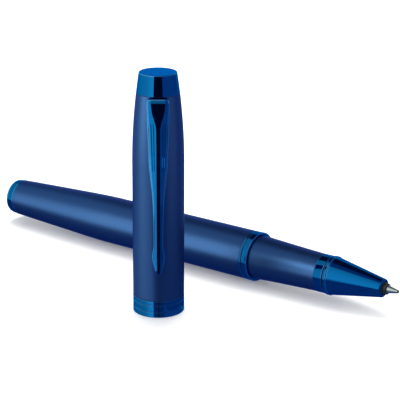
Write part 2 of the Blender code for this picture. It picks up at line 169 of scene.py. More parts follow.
class PenStage(bpy.types.PropertyGroup):
    """The floor, lights and camera."""

    floor: colour("Floor", "Colour of the floor", (0.93, 0.93, 0.93))
    camera_azimuth: FloatProperty(
        name="Azimuth", description="Where the camera stands", default=math.radians(36.37), subtype="ANGLE"
    )
    camera_elevation: FloatProperty(
        name="Elevation", description="How high the camera looks from", default=math.radians(18.02),
        subtype="ANGLE",
    )
    camera_roll: FloatProperty(
        name="Roll", description="How far the camera leans", default=math.radians(0.31), subtype="ANGLE"
    )
    camera_distance: FloatProperty(
        name="Distance", description="From the camera to what it looks at", default=0.3725, unit="LENGTH"
    )
    camera_lens: FloatProperty(
        name="Lens", description="Focal length in millimetres", default=138.6, unit="CAMERA"
    )
    key_power: FloatProperty(name="Key", description="Power of the large soft light", default=1.6)
    floor_lift: FloatProperty(
        name="Lift", description="How far the floor's shadows are lightened", default=0.17
    )
    satin_power: FloatProperty(name="Satin", description="Brightness of the satin pieces' light", default=2.6)


# ---- outlines --------------------------------------------------------------------------------------

ARC_STEPS = 5
SUPPORT = 1.3


def arced(points, closed):
    """Rounds each corner (station, radius, rounding) with an arc and a supporting point on each side.

    Gives (station, radius, share), where the share is 1 on the arc itself and 0 elsewhere; the bright coating
    is painted paler there, partly as wear and partly as a painted edge highlight.
    """
    result = []
    count = len(points)
    for index, point in enumerate(points):
        is_end = not closed and index in (0, count - 1)
        if len(point) == 2 or is_end:
            result.append((*point[:2], 0.0))
            continue
        here = Vector(point[:2])
        before = Vector(points[index - 1][:2]) - here
        after = Vector(points[(index + 1) % count][:2]) - here
        rounding = min(point[2], 0.38 * before.length, 0.38 * after.length)
        start = here + before.normalized() * rounding
        end = here + after.normalized() * rounding
        result.append((*(here + before.normalized() * rounding * SUPPORT), 0.0))
        for step in range(ARC_STEPS + 1):
            share = step / ARC_STEPS
            bend = start * (1 - share) ** 2 + here * 2 * share * (1 - share) + end * share**2
            result.append((*bend, 1.0))
        result.append((*(here + after.normalized() * rounding * SUPPORT), 0.0))
    return result


def along(radius_at, first, last, steps):
    """Points along a shell whose radius follows a formula."""
    places = [first + (last - first) * step / steps for step in range(steps + 1)]
    return [(place, radius_at(place)) for place in places]


def smooth_through(rows, steps):
    """Rows of numbers on a smooth curve that passes through the given rows."""
    result = []
    for index in range(len(rows) - 1):
        before = rows[max(index - 1, 0)]
        here = rows[index]
        after = rows[index + 1]
        beyond = rows[min(index + 2, len(rows) - 1)]
        for step in range(steps):
            t = step / steps
            row = []
            for a, b, c, d in zip(before, here, after, beyond):
                turn = 2 * b + (c - a) * t + (2 * a - 5 * b + 4 * c - d) * t * t
                row.append(0.5 * (turn + (3 * b - a - 3 * c + d) * t**3))
            result.append(tuple(row))
    result.append(tuple(rows[-1]))
    return result


def bull_nose(first, last, steps):
    """A quarter of an ellipse from one (station, radius) to another, turning towards the axis."""
    result = []
    for step in range(1, steps):
        turn = math.pi / 2 * step / steps
        station = first[0] + (last[0] - first[0]) * math.sin(turn)
        result.append((station, last[1] + (first[1] - last[1]) * math.cos(turn)))
    return [first, *result, last]


def groove(station, radius, half_width, depth):
    """Three corners of a small turned groove, rounded at its bottom."""
    return [
        (station - half_width, radius, 0.03),
        (station - 0.35 * half_width, radius - depth, 0.03),
        (station + 0.35 * half_width, radius - depth, 0.03),
        (station + half_width, radius, 0.03),
    ]


# ---- meshes ----------------------------------------------------------------------------------------

SHARP_ANGLE = math.radians(32)
MERGE_MM = 0.0001
# Marks rounded edges that the bright coating paints paler: partly wear, partly a painted edge highlight.
EDGE_WEAR_AND_HIGHLIGHT = "edge_wear_and_highlight"


def finished(builder, name, place, finish):
    """Puts a bmesh made in millimetres in its place and links it with its finish."""
    bmesh.ops.transform(builder, matrix=place, verts=builder.verts)
    mesh = bpy.data.meshes.new(name)
    builder.to_mesh(mesh)
    builder.free()
    mesh.materials.append(finish)
    mesh.shade_smooth()
    mesh.set_sharp_from_angle(angle=SHARP_ANGLE)
    made = bpy.data.objects.new(name, mesh)
    bpy.context.scene.collection.objects.link(made)
    return made


def spin_round(builder, geom, facets):
    """Spins verts and edges once round Z."""
    bmesh.ops.spin(
        builder,
        geom=geom,
        cent=(0.0, 0.0, 0.0),
        axis=(0.0, 0.0, 1.0),
        angle=math.tau,
        steps=facets,
        use_merge=True,
    )


def spun(builder, points, facets):
    """Spins an outline about Z. One that starts and ends on the axis is a bar; any other is a ring."""
    on_axis = points[0][1] == 0.0 and points[-1][1] == 0.0
    outline = arced(points, closed=not on_axis)
    edge_wear_and_highlight = builder.verts.layers.float.get(EDGE_WEAR_AND_HIGHLIGHT) or builder.verts.layers.float.new(EDGE_WEAR_AND_HIGHLIGHT)
    verts = []
    for station, radius, on_arc in outline:
        verts.append(builder.verts.new((radius, 0.0, station)))
        verts[-1][edge_wear_and_highlight] = on_arc
    edges = [builder.edges.new(pair) for pair in zip(verts, verts[1:])]
    if not on_axis:
        edges.append(builder.edges.new((verts[-1], verts[0])))
    before = set(builder.faces)
    spin_round(builder, verts + edges, facets)
    faces = [face for face in builder.faces if face not in before]
    bmesh.ops.remove_doubles(
        builder, verts=list({vert for face in faces for vert in face.verts}), dist=MERGE_MM
    )
    bmesh.ops.recalc_face_normals(builder, faces=builder.faces)


def turned(name, points, place, finish, facets):
    builder = bmesh.new()
    spun(builder, points, facets)
    return finished(builder, name, place, finish)


def helix(builder, section, turns, lead, steps_per_turn):
    """Winds a closed section of (station, radius) points round Z and closes both ends."""
    verts = [builder.verts.new((radius, 0.0, station)) for station, radius in section]
    edges = [builder.edges.new(pair) for pair in zip(verts, verts[1:] + verts[:1])]
    builder.faces.new(verts)
    steps = int(turns * steps_per_turn)
    wound = bmesh.ops.spin(
        builder,
        geom=edges + verts,
        cent=(0.0, 0.0, 0.0),
        axis=(0.0, 0.0, 1.0),
        dvec=(0.0, 0.0, lead / steps_per_turn),
        angle=math.tau * turns,
        steps=steps,
    )
    last_verts = [item for item in wound["geom_last"] if isinstance(item, bmesh.types.BMVert)]
    last_edges = [item for item in wound["geom_last"] if isinstance(item, bmesh.types.BMEdge)]
    if len(last_verts) != len(section):
        raise RuntimeError("the helix has no open end to close")
    bmesh.ops.edgeloop_fill(builder, edges=last_edges)
    bmesh.ops.recalc_face_normals(builder, faces=builder.faces)


def block(builder, low, high, rounding):
    """A box with rounded edges between two corners."""
    size = Vector(high) - Vector(low)
    centre = (Vector(high) + Vector(low)) / 2
    made = bmesh.ops.create_cube(builder, size=1.0)
    bmesh.ops.scale(builder, verts=made["verts"], vec=size)
    bmesh.ops.translate(builder, verts=made["verts"], vec=centre)
    edges = list({edge for vert in made["verts"] for edge in vert.link_edges})
    bmesh.ops.bevel(
        builder, geom=edges, offset=rounding, segments=3, profile=0.5, affect="EDGES", material=-1
    )


def install(piece, body, slot, *nodes):
    """Rides on a body and stands for the CAD nodes of the same shape. The slot is not used."""
    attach(piece, body)
    if nodes:
        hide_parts(*nodes)
    return piece


def make_turned(name, points, finish, facets, body, slot, node):
    """Spins a piece that stands on the cap or lies along the pen, and installs it."""
    place = CAP_PLACE if body == "cap" else PEN_PLACE
    return install(turned(name, points, place, FINISHES[finish], facets), body, slot, node)


# ---- shader maths ----------------------------------------------------------------------------------


class Value:
    """A shader socket that Python's arithmetic works on; each operator adds a Math node."""

    def __init__(self, recipe, socket):
        self.recipe = recipe
        self.socket = socket

    def math(self, operation, *operands):
        settings = {"operation": operation}
        return self.recipe.node("ShaderNodeMath", settings, dict(enumerate(operands)))

    def __add__(self, other):
        return self.math("ADD", self, other)

    def __radd__(self, other):
        return self.math("ADD", other, self)

    def __sub__(self, other):
        return self.math("SUBTRACT", self, other)

    def __rsub__(self, other):
        return self.math("SUBTRACT", other, self)

    def __mul__(self, other):
        return self.math("MULTIPLY", self, other)

    def __rmul__(self, other):
        return self.math("MULTIPLY", other, self)

    def __truediv__(self, other):
        return self.math("DIVIDE", self, other)


class Recipe:
    """The node tree of one material or world, built up by short calls."""

    def __init__(self, owner):
        owner.use_nodes = True
        self.tree = owner.node_tree

    def node(self, kind, settings=None, inputs=None, output=0):
        """Adds a node: its settings first, then its sockets' values or links. Gives one output."""
        made = self.tree.nodes.new(kind)
        for name, value in (settings or {}).items():
            setattr(made, name, value)
        for key, value in (inputs or {}).items():
            if isinstance(value, Value):
                self.tree.links.new(value.socket, made.inputs[key])
            else:
                made.inputs[key].default_value = value
        return Value(self, made.outputs[output])

    def feed(self, target, name, value):
        if isinstance(value, Value):
            self.tree.links.new(value.socket, target.inputs[name])
        else:
            target.inputs[name].default_value = value

    def place(self, scale):
        """Object coordinates, stretched by a scale for each axis."""
        source = self.node("ShaderNodeTexCoord", output="Object")
        return self.node("ShaderNodeMapping", None, {"Vector": source, "Scale": scale})

    def noise(self, scale, detail=2.0, stretch=(1.0, 1.0, 1.0), roughness=0.5):
        """Even noise from 0 to 1. The scale is in cells per metre."""
        inputs = {"Vector": self.place(stretch), "Scale": scale, "Detail": detail, "Roughness": roughness}
        return self.node("ShaderNodeTexNoise", {"noise_dimensions": "3D"}, inputs)

    def smooth_step(self, value, low, high):
        """0 below low, 1 above high, and a smooth rise between."""
        settings = {"interpolation_type": "SMOOTHSTEP"}
        inputs = {"Value": value, "From Min": low, "From Max": high}
        return self.node("ShaderNodeMapRange", settings, inputs)

    def mixed(self, factor, first, second):
        """Mixes two colours by a factor."""
        inputs = {0: factor, 6: first, 7: second}
        return self.node("ShaderNodeMix", {"data_type": "RGBA"}, inputs, output=2)

    def bump(self, height, strength, distance):
        inputs = {"Height": height, "Strength": strength, "Distance": distance}
        return self.node("ShaderNodeBump", None, inputs)


def shade(rgb, factor):
    """A colour made darker or lighter, as a four-part colour."""
    return (*[min(part * factor, 1.0) for part in rgb], 1.0)


def new_finish(name, constants, varied):
    """A Principled material: constants go on its sockets, varied(recipe) gives what is linked."""
    material = bpy.data.materials.new(name)
    recipe = Recipe(material)
    shader = recipe.tree.nodes["Principled BSDF"]
    for socket, value in constants.items():
        recipe.feed(shader, socket, value)
    for socket, value in varied(recipe).items():
        recipe.feed(shader, socket, value)
    return material


FINE_TURNING = 9000.0


def turning_stretch(lengthwise):
    """Noise that changes quickly along the piece's axis and slowly round it leaves turning lines."""
    return (1.0, 0.03, 0.03) if lengthwise == "X" else (0.03, 0.03, 1.0)


def satin_lacquer(name, rgb):
    """Metallic lacquer, matted: very fine flakes, a faint cloudiness and a soft clear surface."""

    def varied(recipe):
        flakes = recipe.noise(9000.0, detail=1.0)
        clouds = recipe.noise(140.0, detail=3.0)
        grain = recipe.noise(5200.0, detail=2.0)
        mix = 0.75 * recipe.smooth_step(flakes, 0.3, 0.75) + 0.25 * clouds
        return {
            "Base Color": recipe.mixed(mix, shade(rgb, 0.88), shade(rgb, 1.14)),
            "Roughness": 0.33 + 0.05 * grain + 0.03 * clouds,
            "Normal": recipe.bump(grain, 0.1, 0.00001),
        }

    constants = {"Metallic": 0.94, "Specular Tint": (0.15, 0.35, 0.8, 1.0)}
    constants |= {"Coat Weight": 0.12, "Coat Roughness": 0.38, "Coat IOR": 1.5}
    return new_finish(name, constants, varied)


def bright_coating(name, rgb, lengthwise):
    """Mirror-bright coloured metal: faint polishing lines and smears, and paler on rounded edges, partly as
    wear and partly as a painted edge highlight.
    """

    def varied(recipe):
        lines = recipe.noise(FINE_TURNING, detail=2.0, stretch=turning_stretch(lengthwise))
        smears = recipe.noise(260.0, detail=4.0, roughness=0.6)
        patches = recipe.noise(900.0, detail=3.0)
        source = {"attribute_type": "GEOMETRY", "attribute_name": EDGE_WEAR_AND_HIGHLIGHT}
        edges = recipe.node("ShaderNodeAttribute", source, output="Fac")
        # Paler, rougher and patchy on rounded edges: partly wear, partly a painted edge highlight in pale
        # blue.
        rubbed_and_highlit = recipe.smooth_step(edges, 0.35, 1.0) * (0.45 + 0.5 * patches)
        veil = recipe.smooth_step(smears, 0.5, 0.85)
        tone = recipe.mixed(0.12 * veil, shade(rgb, 1.0), shade(rgb, 1.35))
        return {
            "Base Color": recipe.mixed(rubbed_and_highlit, tone, (0.1, 0.36, 0.72, 1.0)),
            "Roughness": 0.05 + 0.05 * veil + 0.02 * lines + 0.08 * rubbed_and_highlit,
            "Normal": recipe.bump(lines, 0.05, 0.000004),
        }

    constants = {"Metallic": 1.0, "Specular Tint": (0.1, 0.45, 0.9, 1.0)}
    return new_finish(name, constants, varied)


def moulded_plastic(name, rgb, roughness):
    """Moulded plastic with a fine spark-eroded grain."""

    def varied(recipe):
        grain = recipe.noise(4200.0, detail=3.0)
        wear = recipe.noise(320.0, detail=3.0)
        return {
            "Base Color": recipe.mixed(wear, shade(rgb, 0.85), shade(rgb, 1.25)),
            "Roughness": roughness - 0.08 * wear + 0.08 * grain,
            "Normal": recipe.bump(grain, 0.22, 0.00002),
        }

    return new_finish(name, {"Metallic": 0.0, "Specular IOR Level": 0.5}, varied)


def turned_metal(name, rgb, roughness, lengthwise):
    """Lathe-turned bare metal: lines round the axis and slight staining."""

    def varied(recipe):
        lines = recipe.noise(FINE_TURNING, detail=3.0, stretch=turning_stretch(lengthwise))
        stain = recipe.noise(420.0, detail=3.0)
        tone = 0.6 * lines + 0.4 * stain
        return {
            "Base Color": recipe.mixed(tone, shade(rgb, 0.72), shade(rgb, 1.2)),
            "Roughness": roughness - 0.06 + 0.14 * lines,
            "Normal": recipe.bump(lines, 0.3, 0.00001),
        }

    return new_finish(name, {"Metallic": 1.0}, varied)


def milky_tube(name, rgb):
    """Milky extruded tube that hints at the dark ink felt inside."""

    def varied(recipe):
        streaks = recipe.noise(500.0, detail=3.0, stretch=(0.06, 1.0, 1.0))
        ink = recipe.noise(60.0, detail=2.0)
        tone = 0.5 * streaks + 0.5 * ink
        return {
            "Base Color": recipe.mixed(tone, shade(rgb, 0.78), shade(rgb, 1.1)),
            "Roughness": 0.28 + 0.1 * streaks,
            "Normal": recipe.bump(streaks, 0.08, 0.00002),
        }

    constants = {"Subsurface Weight": 0.15, "Subsurface Scale": 0.001, "Coat Weight": 0.2}
    return new_finish(name, constants, varied)


def soaked_felt(name, rgb):
    """Bonded fibre soaked with ink: matt, streaky along its length."""

    def varied(recipe):
        fibres = recipe.noise(3800.0, detail=4.0, stretch=(0.05, 1.0, 1.0))
        return {
            "Base Color": recipe.mixed(fibres, shade(rgb, 0.5), shade(rgb, 1.7)),
            "Roughness": 0.8 + 0.15 * fibres,
            "Normal": recipe.bump(fibres, 0.6, 0.00005),
        }

    return new_finish(name, {"Sheen Weight": 0.2}, varied)


FINISHES = {}


def make_finishes():
    """Makes each finish once; pieces on the cap and on the pen differ in which way their lines run."""
    hues = bpy.context.scene.pen_colours
    FINISHES["satin"] = satin_lacquer("satin_lacquer", hues.satin_blue)
    FINISHES["bright_pen"] = bright_coating("bright_coating_pen", hues.bright_blue, "X")
    FINISHES["bright_cap"] = bright_coating("bright_coating_cap", hues.bright_blue, "Z")
    FINISHES["black"] = moulded_plastic("black_plastic", hues.black, 0.42)
    FINISHES["grey"] = moulded_plastic("grey_plastic", hues.grey, 0.5)
    FINISHES["milky"] = milky_tube("milky_tube", hues.milky)
    FINISHES["steel_pen"] = turned_metal("turned_steel_pen", hues.steel, 0.3, "X")
    FINISHES["steel_cap"] = turned_metal("turned_steel_cap", hues.steel, 0.3, "Z")
    FINISHES["brass_pen"] = turned_metal("turned_brass_pen", hues.brass, 0.28, "X")
    FINISHES["brass_cap"] = turned_metal("turned_brass_cap", hues.brass, 0.28, "Z")
    FINISHES["carbide"] = turned_metal("ground_hard_metal", hues.carbide, 0.22, "X")
    FINISHES["rubber"] = moulded_plastic("moulded_rubber", hues.rubber, 0.6)
    FINISHES["felt"] = soaked_felt("soaked_felt", hues.felt)


# ---- shapes of the shells --------------------------------------------------------------------------


def cap_radius(height):
    sizes = bpy.context.scene.pen_sizes
    above = max(0.0, height - sizes.cap_shoulder)
    return CAP_RADIUS - sizes.cap_curve * above * above


def barrel_radius(station):
    sizes = bpy.context.scene.pen_sizes
    behind = max(0.0, sizes.barrel_taper_start - station)
    drop = math.hypot(sizes.barrel_taper_ease, sizes.barrel_taper_slope * behind) - sizes.barrel_taper_ease
    return BARREL_RADIUS - drop


def grip_radius(station):
    sizes = bpy.context.scene.pen_sizes
    rear, front = pen_span("grip_tube")
    share = (station - rear) / (front - rear)
    return sizes.grip_rear_radius - sizes.grip_slope * share + sizes.grip_hollow * share * share


CAP_RADIUS = 6.28
CAP_BORE = 5.85
BARREL_RADIUS = pen_radius("barrel_tube")
RING_RADIUS = pen_radius("section_ring")
THREAD_BORE = 5.08


class PEN_OT_make_finishes(bpy.types.Operator):
    """Make the lacquer, metal, plastic and felt finishes"""

    bl_idname = "pen.make_finishes"
    bl_label = "Finishes"

    def execute(self, context):
        make_finishes()
        return {"FINISHED"}


class PEN_OT_make_cap(bpy.types.Operator):
    """Make the cap's tube, crown, mouth ring and liner"""

    bl_idname = "pen.make_cap"
    bl_label = "Cap"

    SLOT_HALF_ANGLE = math.radians(27.0)
    SLOT_TOP_HALF_ANGLE = math.radians(15.5)
    SLOT_SHAPED_TO = math.radians(45.0)
    SLOT_SLACK = 0.02
    SLOT_BOTTOM = 53.3
    SLOT_SHOULDER = 54.3

    def draw_in_slot(self, vert, top):
        """Rounds the slot's upper corners by turning the wall beside it towards its middle."""
        at = math.atan2(vert.co.y, vert.co.x)
        beside_slot = self.SLOT_HALF_ANGLE - self.SLOT_SLACK < abs(at) < self.SLOT_SHAPED_TO
        if vert.co.z <= self.SLOT_SHOULDER or not beside_slot:
            return
        into = min((vert.co.z - self.SLOT_SHOULDER) / (top - self.SLOT_SHOULDER), 1.0)
        spread = self.SLOT_HALF_ANGLE - self.SLOT_TOP_HALF_ANGLE
        half_angle = self.SLOT_TOP_HALF_ANGLE + spread * math.sqrt(1 - into**2)
        share = (self.SLOT_SHAPED_TO - abs(at)) / (self.SLOT_SHAPED_TO - self.SLOT_HALF_ANGLE)
        turned_by = math.copysign(share * (self.SLOT_HALF_ANGLE - half_angle), at)
        vert.co.rotate(Matrix.Rotation(-turned_by, 3, "Z"))

    def cap_tube(self, sizes):
        """A shell with a notch at its top edge for the clip."""
        bottom = cap_span("cap_ring")[1] + GAP
        top = cap_span("cap_tube")[1]
        points = [(bottom, CAP_RADIUS - 0.05), (bottom + 0.03, CAP_RADIUS - 0.012)]
        points += [(bottom + 0.07, CAP_RADIUS)]
        points += along(cap_radius, bottom + 0.4, sizes.cap_shoulder, 6)
        points += along(cap_radius, sizes.cap_shoulder, self.SLOT_BOTTOM, 20)[1:]
        points += along(cap_radius, self.SLOT_BOTTOM, self.SLOT_SHOULDER, 3)[1:]
        points += along(cap_radius, self.SLOT_SHOULDER, top - 0.06, 9)[1:]
        points += [(top - 0.02, cap_radius(top) - 0.02), (top, cap_radius(top) - 0.06)]
        builder = bmesh.new()
        verts = [builder.verts.new((radius, 0.0, height)) for height, radius in points]
        edges = [builder.edges.new(pair) for pair in zip(verts, verts[1:])]
        spin_round(builder, verts + edges, sizes.facets)
        in_slot = []
        for face in builder.faces:
            centre = face.calc_center_median()
            at = abs(math.atan2(centre.y, centre.x))
            if centre.z > self.SLOT_BOTTOM and at < self.SLOT_HALF_ANGLE:
                in_slot.append(face)
        bmesh.ops.delete(builder, geom=in_slot, context="FACES")
        for vert in builder.verts:
            self.draw_in_slot(vert, top)
        bmesh.ops.recalc_face_normals(builder, faces=builder.faces)
        if builder.faces[:][0].normal.dot(builder.faces[:][0].calc_center_median()) < 0:
            bmesh.ops.reverse_faces(builder, faces=builder.faces)
        bmesh.ops.solidify(builder, geom=builder.faces, thickness=sizes.cap_wall)
        piece = finished(builder, "cap_tube_shell", CAP_PLACE, FINISHES["satin"])
        install(piece, "cap", "satin_blue", "cap_tube")

    def cap_crown(self, sizes):
        low, high = cap_span("cap_crown")
        joint = cap_span("cap_tube")[1] + GAP
        spigot = 4.4
        points = [(low, 0.0), (low, spigot, 0.1), (joint, spigot)]
        points += [(joint, cap_radius(joint) - 0.01, sizes.edge)]
        points += along(cap_radius, joint + 0.5, high - 0.6, 4)
        points += [(high, cap_radius(high), 0.38), (high, 0.0)]
        piece = turned("cap_crown_button", points, CAP_PLACE, FINISHES["bright_cap"], sizes.facets)
        # The spigot below the joint shows through the clip's slot and takes the black finish: painted shade
        # in the slot.
        piece.data.materials.append(FINISHES["black"])
        foot = (joint + 0.01) * MM
        for face in piece.data.polygons:
            if face.center.z < foot:
                face.material_index = 1
        install(piece, "cap", "gloss_blue", "cap_crown")

    def cap_ring(self, sizes):
        low, high = cap_span("cap_ring")
        outside = CAP_RADIUS + 0.02
        points = [(low, CAP_BORE, 0.08), (low, outside, 0.3)]
        for height in (1.45, 3.1):
            points += groove(height, outside, 0.17, 0.17)
        points += [(high, outside, sizes.edge), (high, 6.1), (0.95, 6.1), (0.95, CAP_BORE, 0.05)]
        make_turned("cap_mouth_ring", points, "bright_cap", sizes.facets, "cap", "gloss_blue", "cap_ring")

    def inner_cap(self, sizes):
        low, high = cap_span("inner_cap")
        floor = high - 1.2
        points = [(floor, 0.0), (floor, 4.9, 0.6), (low + 3.0, 4.95), (low + 2.4, 4.88), (low + 1.6, 4.88)]
        points += [(low + 1.0, 4.98), (low, 5.1, 0.3), (low, 5.65, 0.2)]
        for rib in range(3):
            points += groove(low + 3.0 + 2.2 * rib, 5.65, 0.35, 0.25)
        points += [(38.0, 5.65), (high, 5.1, 0.4), (high, 0.0)]
        make_turned("inner_cap_liner", points, "black", sizes.facets, "cap", "black_plastic", "inner_cap")

    def execute(self, context):
        sizes = context.scene.pen_sizes
        self.cap_tube(sizes)
        self.cap_crown(sizes)
        self.cap_ring(sizes)
        self.inner_cap(sizes)
        return {"FINISHED"}


class PEN_OT_make_clip(bpy.types.Operator):
    """Make the spring clip: a tapered strip with bevelled edges, a flat ridge and fine grooves"""

    bl_idname = "pen.make_clip"
    bl_label = "Clip"

    # Height, half width, outer face's distance from the axis, thickness, half width of the flat ridge.
    CROWN_END = (
        (54.84, 2.28, 6.5, 0.62, 1.46),
        (54.8, 2.42, 6.56, 0.72, 1.56),
        (54.68, 2.56, 6.64, 0.82, 1.62),
        (54.45, 2.67, 6.78, 0.98, 1.68),
        (54.1, 2.72, 6.99, 1.2, 1.71),
        (54.0, 2.73, 7.05, 1.25, 1.72),
    )
    STATIONS = (
        (53.94, 2.74, 7.07, 1.27, 1.72),
        (53.0, 2.74, 7.14, 1.25, 1.62),
        (51.6, 2.71, 7.25, 1.1, 1.42),
        (50.1, 2.67, 7.36, 1.0, 0.97),
        (48.65, 2.62, 7.47, 0.98, 0.58),
        (47.2, 2.56, 7.57, 0.96, 0.45),
        (43.0, 2.4, 7.77, 0.93, 0.43),
        (39.0, 2.25, 7.91, 0.92, 0.43),
        (35.5, 1.9, 7.98, 0.9, 0.43),
        (32.0, 1.52, 8.0, 0.9, 0.43),
        (28.0, 1.32, 8.0, 0.9, 0.43),
        (22.0, 1.17, 7.96, 0.9, 0.43),
        (19.0, 1.17, 7.93, 0.95, 0.43),
        (17.4, 1.44, 7.92, 1.16, 0.43),
        (16.2, 1.56, 7.9, 1.3, 0.43),
        (14.8, 1.38, 7.87, 1.32, 0.41),
        (13.4, 1.02, 7.82, 1.1, 0.38),
        (12.3, 0.68, 7.74, 0.9, 0.3),
        (11.8, 0.42, 7.6, 0.7, 0.16),
        (11.7, 0.24, 7.5, 0.5, 0.08),
    )
    FACET_SLOPE = 0.33
    RIM = 0.34
    GROOVE_TOP = 50.0
    GROOVE_END = 37.0
    GROOVE_RUN_OUT = 1.6
    GROOVE_DEPTH = 0.05
    GROOVE_PLACES = (0.36, 0.68)
    GROOVE_HALF_WIDTH = 0.055
    # Above this height the clip's end is painted paler all over: partly wear, partly a painted highlight.
    WEAR_AND_HIGHLIGHT_ABOVE = 54.6
    HEEL = ((3.3, -1.9, 53.62), (6.3, 1.9, 54.38))
    HEEL_ROUNDING = 0.12

    def groove_depth(self, height):
        """The fine grooves run out smoothly at both ends."""
        into = min(self.GROOVE_TOP - height, height - self.GROOVE_END) / self.GROOVE_RUN_OUT
        share = min(max(into, 0.0), 1.0)
        return self.GROOVE_DEPTH * share * share * (3 - 2 * share)

    def half_section(self, row):
        """Points (distance, side, share painted paler) from the middle of the back to the middle of the
        ridge.
        """
        height, half_width, outer, thickness, ridge = row
        scale = min(1.0, half_width / 2.0)
        rim = self.RIM * scale
        inner = outer - thickness
        foot = outer - min(self.FACET_SLOPE * (half_width - rim - ridge), 0.55 * thickness)
        points = [(inner, 0.0, 0.0), (inner, half_width - 0.24 * scale, 0.0)]
        points += [(inner + 0.07, half_width - 0.08 * scale, 0.0), (inner + 0.16 * scale, half_width, 0.0)]
        drop = 0.5 * rim
        for step in range(5):
            turn = math.pi / 2 * step / 4
            distance = foot - drop * (1 - math.sin(turn))
            points.append((distance, half_width - rim * (1 - math.cos(turn)), 1.0))
        depth = self.groove_depth(height)
        valley = half_width - rim
        for place in self.GROOVE_PLACES:
            for offset, share in ((-1.5, 0.0), (-1, 0.0), (0, 1.0), (1, 0.0), (1.5, 0.0)):
                at = place + offset * self.GROOVE_HALF_WIDTH
                distance = foot + (outer - foot) * at - depth * share
                points.append((distance, valley + (ridge - valley) * at, 0.0))
        held = 0.04
        points.append((outer - (outer - foot) * held, ridge + (valley - ridge) * held, 0.0))
        points += [(outer, ridge, 0.0), (outer, ridge - min(0.05, 0.3 * ridge), 0.0), (outer, 0.0, 0.0)]
        return points

    def execute(self, context):
        builder = bmesh.new()
        loops = []
        edge_wear_and_highlight = builder.verts.layers.float.new(EDGE_WEAR_AND_HIGHLIGHT)
        for row in self.CROWN_END + tuple(smooth_through(self.STATIONS, 6)):
            half = self.half_section(row)
            mirrored = [(distance, -side, rubbed_and_highlit) for distance, side, rubbed_and_highlit in reversed(half[1:-1])]
            verts = []
            for distance, side, rubbed_and_highlit in half + mirrored:
                verts.append(builder.verts.new((distance, side, row[0])))
                # Rounded edges, and all of the clip's end above the given height, are painted paler: partly
                # wear, partly a painted highlight.
                verts[-1][edge_wear_and_highlight] = rubbed_and_highlit if row[0] < self.WEAR_AND_HIGHLIGHT_ABOVE else 1.0
            loops.append([builder.edges.new(pair) for pair in zip(verts, verts[1:] + verts[:1])])
        for upper, lower in zip(loops, loops[1:]):
            bmesh.ops.bridge_loops(builder, edges=upper + lower)
        for end in (loops[0], loops[-1]):
            bmesh.ops.edgeloop_fill(builder, edges=end)
        bmesh.ops.recalc_face_normals(builder, faces=builder.faces)
        block(builder, *self.HEEL, self.HEEL_ROUNDING)
        piece = finished(builder, "clip_strip", CAP_PLACE, FINISHES["bright_cap"])
        install(piece, "clip", "gloss_blue", "clip")
        return {"FINISHED"}


class PEN_OT_make_barrel(bpy.types.Operator):
    """Make the barrel's tube, end piece, threaded bush and spring seat"""

    bl_idname = "pen.make_barrel"
    bl_label = "Barrel"

    def execute(self, context):
        sizes = context.scene.pen_sizes
        rear, front = pen_span("barrel_tube")
        inside = BARREL_RADIUS - sizes.barrel_wall
        outside = along(barrel_radius, rear + 0.3, sizes.barrel_taper_start, 24)
        points = [(rear, barrel_radius(rear) - sizes.barrel_wall)]
        points += [(rear, barrel_radius(rear) - 0.005, 0.05)] + outside + [(-20.0, BARREL_RADIUS)]
        points += [(front, BARREL_RADIUS, 0.07), (front, inside), (sizes.barrel_taper_start, inside)]
        make_turned(
            "barrel_tube_shell", points, "satin", sizes.facets, "barrel", "satin_blue", "barrel_tube"
        )

        end, spigot_front = pen_span("barrel_end_cap")
        seat = rear - GAP
        rim = barrel_radius(seat)
        points = [(end, 0.0), (end, rim - 0.3, 0.75), (seat - 0.3, rim, 0.1), (seat, rim - 0.02, 0.08)]
        points += [(seat, 4.3), (spigot_front, 4.3, 0.15), (spigot_front, 3.3, 0.15), (-79.0, 3.3)]
        points += [(-79.0, 0.0)]
        make_turned(
            "barrel_end_button", points, "bright_pen", sizes.facets,
            "barrel", "gloss_blue", "barrel_end_cap",
        )

        rear, front = pen_span("barrel_thread_insert")
        outside = pen_radius("barrel_thread_insert")
        points = [(rear, THREAD_BORE + 0.3, 0.1), (rear, outside, 0.15), (front, outside, 0.1)]
        points += [(front, THREAD_BORE + 0.2, 0.1)]
        pitch = 0.5
        count = int((front - rear - 1.2) / pitch)
        for turn in range(count):
            crest = front - 0.6 - turn * pitch
            points += [(crest, THREAD_BORE), (crest - pitch / 2, THREAD_BORE + 0.24)]
        make_turned(
            "barrel_thread_bush", points, "brass_pen", sizes.facets // 2,
            "barrel", "brass", "barrel_thread_insert",
        )

        rear, front = pen_span("spring_seat")
        points = [(rear, 0.0), (rear, 3.9, 0.2), (rear + 1.0, 3.9, 0.2), (rear + 1.0, 2.8, 0.1)]
        points += [(rear + 0.8, 2.6), (rear + 0.8, 1.6, 0.1), (rear + 1.0, 1.4, 0.1), (front, 1.3, 0.4)]
        points += [(front, 0.0)]
        make_turned(
            "spring_seat_disc", points, "black", sizes.facets // 2,
            "spring_end", "black_plastic", "spring_seat",
        )
        return {"FINISHED"}


